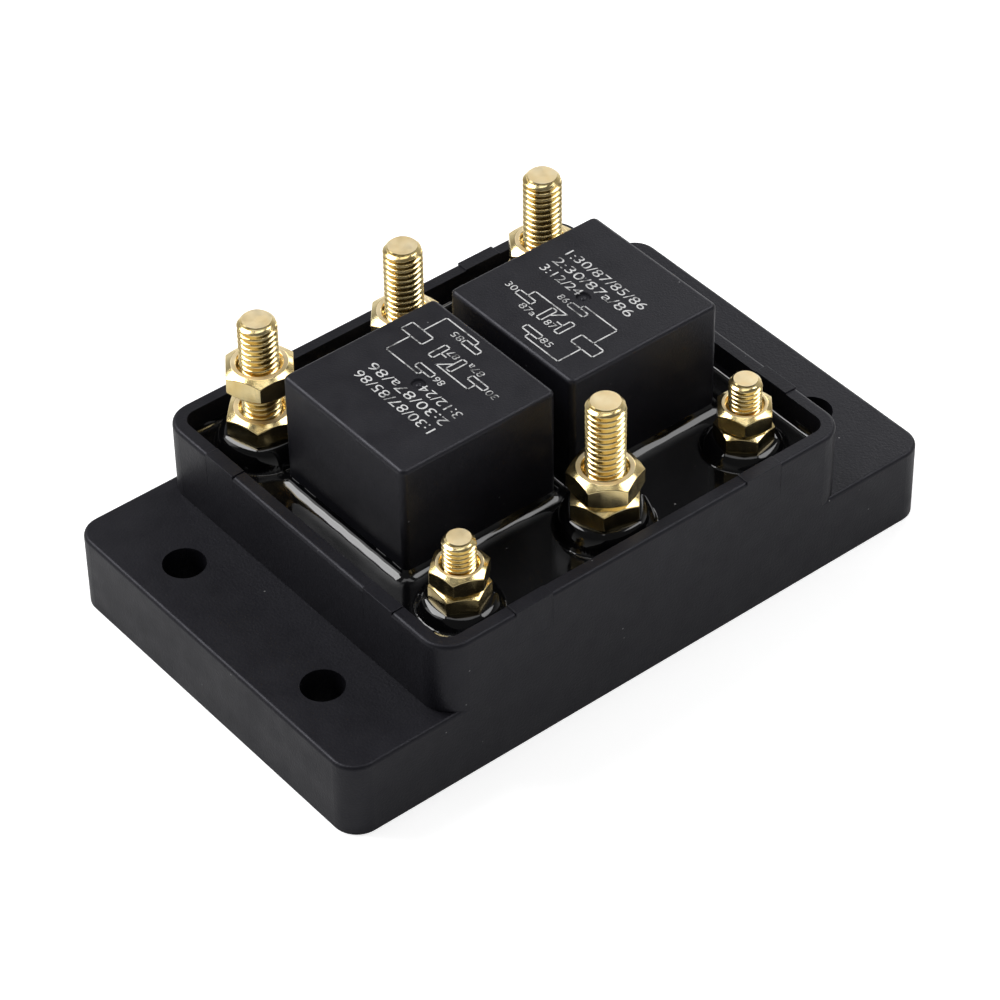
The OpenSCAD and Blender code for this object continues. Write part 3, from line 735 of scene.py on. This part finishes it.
def with_bead(height, x, y, number, name):
    """The surface with one stud's bead, which rises to its nut and lies lower under it."""
    kind, turn, _ = STUDS[name]
    size = SIZES[kind]
    turn = math.radians(turn)
    place = middle("stud_" + name) / MM
    nut_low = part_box(size["lower_nuts"])[0].z / MM
    away = np.hypot(x - place.x, y - place.y)
    about = np.arctan2(y - place.y, x - place.x)
    corner = size["across"] / 2 / math.cos(math.pi / 6)
    reach = BEAD_REACH
    for wander, count, shift in BEAD_WANDER:
        reach = reach + wander * np.sin(count * about + number * shift)
    nut = hex_radii(about, turn, size["across"])
    run = np.clip((away - nut) / (corner + reach - nut), 0, 1)
    base = RESIN_LEVEL - BEAD_SUNK
    bead = base + (nut_low + BEAD_RISE - base) * (1 - run ** 2) ** BEAD_ROUND
    height = np.where(away < corner + reach, smooth_maximum(height, bead, BEAD_BLEND), height)
    under = away < hex_radii(about, turn, size["across"] - UNDER_NUT_NARROWER)
    return np.where(under, nut_low - UNDER_NUT_DROP, height)


def resin_heights(x, y):
    """The resin's surface over the well, in millimetres."""
    first, second, third = waves(x, y, SURFACE_WAVES)
    slow = np.sin(first) * np.cos(second) + THIRD_WAVE_SHARE * np.sin(third)
    height = RESIN_LEVEL + SURFACE_WAVE_HEIGHT * slow
    first, second = waves(x, y, FOOT_WAVES)
    wobble = 1 + FOOT_WOBBLE * np.sin(first) * np.cos(second)
    wall = -rounded_distance(x, y, WELL_X, WELL_Y, WELL_CORNER)
    height = height + climb(wall, WALL_MENISCUS) * wobble
    for side in "ab":
        height = height + climb(relay_distance(x, y, side), RELAY_MENISCUS) * wobble
    for number, name in enumerate(STUDS):
        height = with_bead(height, x, y, number, name)
    for side in "ab":
        height = np.where(relay_distance(x, y, side) < -RELAY_SHELL, PIT_FLOOR, height)
    return height


def add_resin(material):
    """The potting resin: one closed body whose top is a surface of heights."""
    half_x = WELL_X + RESIN_BITE
    half_y = WELL_Y + RESIN_BITE
    xs = np.linspace(-half_x, half_x, int(2 * half_x / RESIN_STEP) + 1)
    ys = np.linspace(-half_y, half_y, int(2 * half_y / RESIN_STEP) + 1)
    x, y = np.meshgrid(xs, ys, indexing="ij")
    top = np.stack([x, y, resin_heights(x, y)], -1).reshape(-1, 3)
    across, deep = x.shape
    index = np.arange(across * deep).reshape(across, deep)
    quads = np.stack([index[:-1, :-1], index[1:, :-1], index[1:, 1:], index[:-1, 1:]], -1).reshape(-1, 4)
    faces = [tuple(q) for q in quads.tolist()]
    border = [*index[:, 0], *index[-1, 1:], *index[-2::-1, -1], *index[0, -2:0:-1]]
    under = top[border] * (1, 1, 0) + (0, 0, RESIN_FLOOR)
    start = len(top)
    count = len(border)
    for i in range(count):
        k = (i + 1) % count
        faces.append((int(border[i]), int(border[k]), start + k, start + i))
    faces.append(tuple(range(start, start + count)))
    points = np.concatenate([top, under]) * MM
    piece = add_piece("resin_poured", points, faces, material, "module", "resin", SHARP_ON_RESIN)
    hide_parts("potting_resin")


def add_cover(side, material):
    """A relay's cover: a thin shell with softly rounded edges and a round dimple with a pip."""
    cad = "relay_%s_cover" % side
    low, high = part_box(cad)
    centre = middle(cad)
    half = (high.x - low.x) / 2
    corner = RELAY_CORNER * MM
    edge = RELAY_EDGE * MM
    wall = RELAY_WALL * MM
    dimple = DIMPLE_RADIUS * MM
    lip = DIMPLE_LIP * MM
    pip = PIP_RADIUS * MM
    floor = high.z - DIMPLE_DEPTH * MM
    count = 4 * (ARC_STEPS + 1)
    around = (np.arange(count) + 0.5) * 2 * math.pi / count
    rings = [
        ring(centre, around, pip, high.z - wall),
        square_ring(centre, half - wall, corner / 2, high.z - wall),
        square_ring(centre, half - wall, corner / 2, low.z),
        square_ring(centre, half, corner, low.z),
    ]
    for angle in np.radians(np.linspace(0, 90, ARC_STEPS + 1)):
        inward = edge * (1 - math.cos(angle))
        height = high.z - edge * (1 - math.sin(angle))
        rings.append(square_ring(centre, half - inward, corner - inward, height))
    for radius, height in (
        (dimple + lip, high.z),
        (dimple, high.z - lip),
        (dimple - lip, floor),
        (pip + lip, floor),
        (pip, floor + PIP_HEIGHT * MM / 2),
        (pip / 2, floor + PIP_HEIGHT * MM),
    ):
        rings.append(ring(centre, around, radius, height))
    piece = add_piece(cad + "_moulded", *lofted(rings), material, "module", "relay_plastic")
    weigh(piece)
    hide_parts(cad)


def block(x, y, z):
    """The corners of an upright block between two values on each axis."""
    outline = ((x[0], y[0]), (x[1], y[0]), (x[1], y[1]), (x[0], y[1]))
    return [(across, deep, height) for height in z for across, deep in outline]


def add_pads(material):
    """The eight flat pads across the rim, each with a square outer edge."""
    points = []
    faces = []
    wall_x = WELL_X + WALL_THICK
    wall_y = WELL_Y + WALL_THICK
    half = PAD_LENGTH / 2 + PAD_OVERLAP
    for sx in (-1, 1):
        for sy in (-1, 1):
            deep_x = sorted((sx * (WELL_X + PAD_INSET), sx * (wall_x - PAD_INSET)))
            deep_y = sorted((sy * (WELL_Y + PAD_INSET), sy * (wall_y - PAD_INSET)))
            on_long_wall = ((sx * PAD_X - half, sx * PAD_X + half), deep_y)
            on_end_wall = (deep_x, (sy * PAD_Y - half, sy * PAD_Y + half))
            for x, y in (on_long_wall, on_end_wall):
                gather(points, faces, block(x, y, (PAD_LOW, PAD_TOP)), BLOCK_FACES)
    points = [[c * MM for c in point] for point in points]
    piece = add_piece("rim_pads", points, faces, material, "module", "housing_plastic")
    bevel(piece, PAD_EDGE)


def stroke(start, end):
    """The eight corners of one printed line."""
    start = Vector(start)
    end = Vector(end)
    along = (end - start).normalized() * STROKE / 2
    side = Vector((-along.y, along.x))
    corners = (start - along - side, end + along - side, end + along + side, start - along + side)
    return [(corner.x, corner.y, z) for z in (-PRINT_SINK, PRINT_THICK) for corner in corners]


def lettering(words, left, right, base, height):
    """Points and faces of plain numbers stretched between two margins."""
    curve = bpy.data.curves.new("words", "FONT")
    curve.body = words
    curve.extrude = LETTER_EXTRUDE
    curve.offset = LETTER_OFFSET
    curve.resolution_u = LETTER_RESOLUTION
    holder = linked("words", curve)
    bpy.context.view_layer.update()
    mesh = bpy.data.meshes.new_from_object(holder.evaluated_get(bpy.context.evaluated_depsgraph_get()))
    points = np.array([v.co for v in mesh.vertices])
    faces = [tuple(p.vertices) for p in mesh.polygons]
    bpy.data.objects.remove(holder)
    bpy.data.curves.remove(curve)
    bpy.data.meshes.remove(mesh)
    low = points.min(0)
    high = points.max(0)
    share = (points - low) / (high - low)
    u = left + share[:, 0] * (right - left)
    v = base + share[:, 1] * height
    w = -PRINT_SINK + share[:, 2] * (PRINT_THICK + PRINT_SINK)
    return np.stack([u, v, w], 1).tolist(), faces


def add_print(side, turn, material):
    """The connection diagram with its pin numbers, and rows of plain numbers, on one relay's top."""
    points = []
    faces = []
    for row in TEXT_ROWS:
        gather(points, faces, *lettering(*row))
    outlines = [
        ((left, base), (right, base), (right, top), (left, top), (left, base))
        for left, base, right, top in PIN_BOXES
    ]
    for outline in (*outlines, *LEADS):
        for start, end in zip(outline, outline[1:]):
            gather(points, faces, stroke(start, end), BLOCK_FACES)
    low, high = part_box("relay_%s_cover" % side)
    place = Matrix.Translation(((low.x + high.x) / 2, (low.y + high.y) / 2, high.z))
    place = place @ Matrix.Rotation(math.radians(turn), 4, "Z") @ Matrix.Scale(MM, 4)
    name = "relay_%s_print" % side
    mesh = bpy.data.meshes.new(name)
    mesh.from_pydata([tuple(place @ Vector(p)) for p in points], [], faces)
    mesh.materials.append(material)
    piece = linked(name, mesh)
    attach(piece, "module")


def dress_cad(materials):
    """Each CAD node takes the shader of its material slot."""
    for part in frame["record"]["subparts"]:
        shown = frame["nodes"][part["node"]]
        shown.data.materials.clear()
        shown.data.materials.append(materials[part["material_slot"]])


def add_area(name, place, size, radiance):
    """A soft box of a given brightness that faces the object."""
    lamp = bpy.data.lights.new(name, "AREA")
    lamp.shape = "RECTANGLE"
    lamp.size, lamp.size_y = size
    lamp.energy = radiance * math.pi * size[0] * size[1]
    holder = linked(name, lamp)
    holder.location = place
    holder.rotation_euler = (Vector(LAMP_TARGET) - Vector(place)).to_track_quat("-Z", "Y").to_euler()


def add_floor():
    """A plain white floor well past the frame."""
    mesh = bpy.data.meshes.new("studio_floor")
    signs = ((-1, -1), (1, -1), (1, 1), (-1, 1))
    corners = [(x * FLOOR_HALF, y * FLOOR_HALF, FLOOR_HEIGHT) for x, y in signs]
    mesh.from_pydata(corners, [], [(0, 1, 2, 3)])
    mesh.materials.append(floor_material())
    linked("studio_floor", mesh)


def add_world():
    """A sky that is dim above and paler at the horizon: white to the camera, and low down in mirrors."""
    world = bpy.data.worlds.new("studio")
    world.use_nodes = True
    bpy.context.scene.world = world
    tree = world.node_tree
    tree.nodes.clear()
    output = node(tree, "ShaderNodeOutputWorld")
    back = node(tree, "ShaderNodeBackground", Color=(1, 1, 1, 1))
    path = node(tree, "ShaderNodeLightPath")
    place = node(tree, "ShaderNodeTexCoord")
    split = node(tree, "ShaderNodeSeparateXYZ")
    tree.links.new(place.outputs["Generated"], split.inputs["Vector"])
    height = split.outputs["Z"]
    strength = ranged(tree, height, (0.0, SKY_SLOPE), (SKY_HORIZON, SKY_TOP))
    band = ranged(tree, height, (0.0, SKY_BAND), (1.0, 0.0))
    mirrored = combined(tree, "MULTIPLY", band, path.outputs["Is Glossy Ray"])
    for white in (mirrored, path.outputs["Is Camera Ray"], path.outputs["Is Transmission Ray"]):
        strength = combined(tree, "MAXIMUM", strength, white)
    tree.links.new(strength, back.inputs["Strength"])
    tree.links.new(back.outputs["Background"], output.inputs["Surface"])


def add_camera():
    """The camera at the photograph's angle."""
    azimuth = math.radians(CAMERA_AZIMUTH)
    elevation = math.radians(CAMERA_ELEVATION)
    back = Vector((
        math.sin(azimuth) * math.cos(elevation),
        -math.cos(azimuth) * math.cos(elevation),
        math.sin(elevation),
    ))
    right = Vector((math.cos(azimuth), math.sin(azimuth), 0))
    up = back.cross(right)
    turned = Matrix((right, up, back)).transposed().to_4x4()
    data = bpy.data.cameras.new("camera")
    data.lens = CAMERA_LENS
    data.sensor_width = CAMERA_SENSOR
    data.clip_start = CAMERA_CLIP_START
    camera = linked("camera", data)
    place = (CAMERA_TARGET + back * CAMERA_DISTANCE) * MM
    roll = Matrix.Rotation(math.radians(CAMERA_ROLL), 4, "Z")
    camera.matrix_world = Matrix.Translation(place) @ turned @ roll
    bpy.context.scene.camera = camera


materials = make_materials()
dress_cad(materials)
brass = materials["brass"]
cut_brass = materials["cut_brass"]
for stud in STUDS:
    add_stud(stud, brass, cut_brass)
    add_upper_nut(stud, brass, cut_brass)
for kind in SIZES:
    add_lower_nuts(kind, brass, cut_brass)
add_resin(materials["resin"])
add_pads(materials["housing_plastic"])
ink = print_material()
for side, turn in (("a", 90.0), ("b", -90.0)):
    add_cover(side, materials["relay_plastic"])
    add_print(side, turn, ink)
add_floor()
add_world()
for lamp in LAMPS:
    add_area(*lamp)
add_camera()
bpy.context.scene.view_settings.view_transform = "Standard"
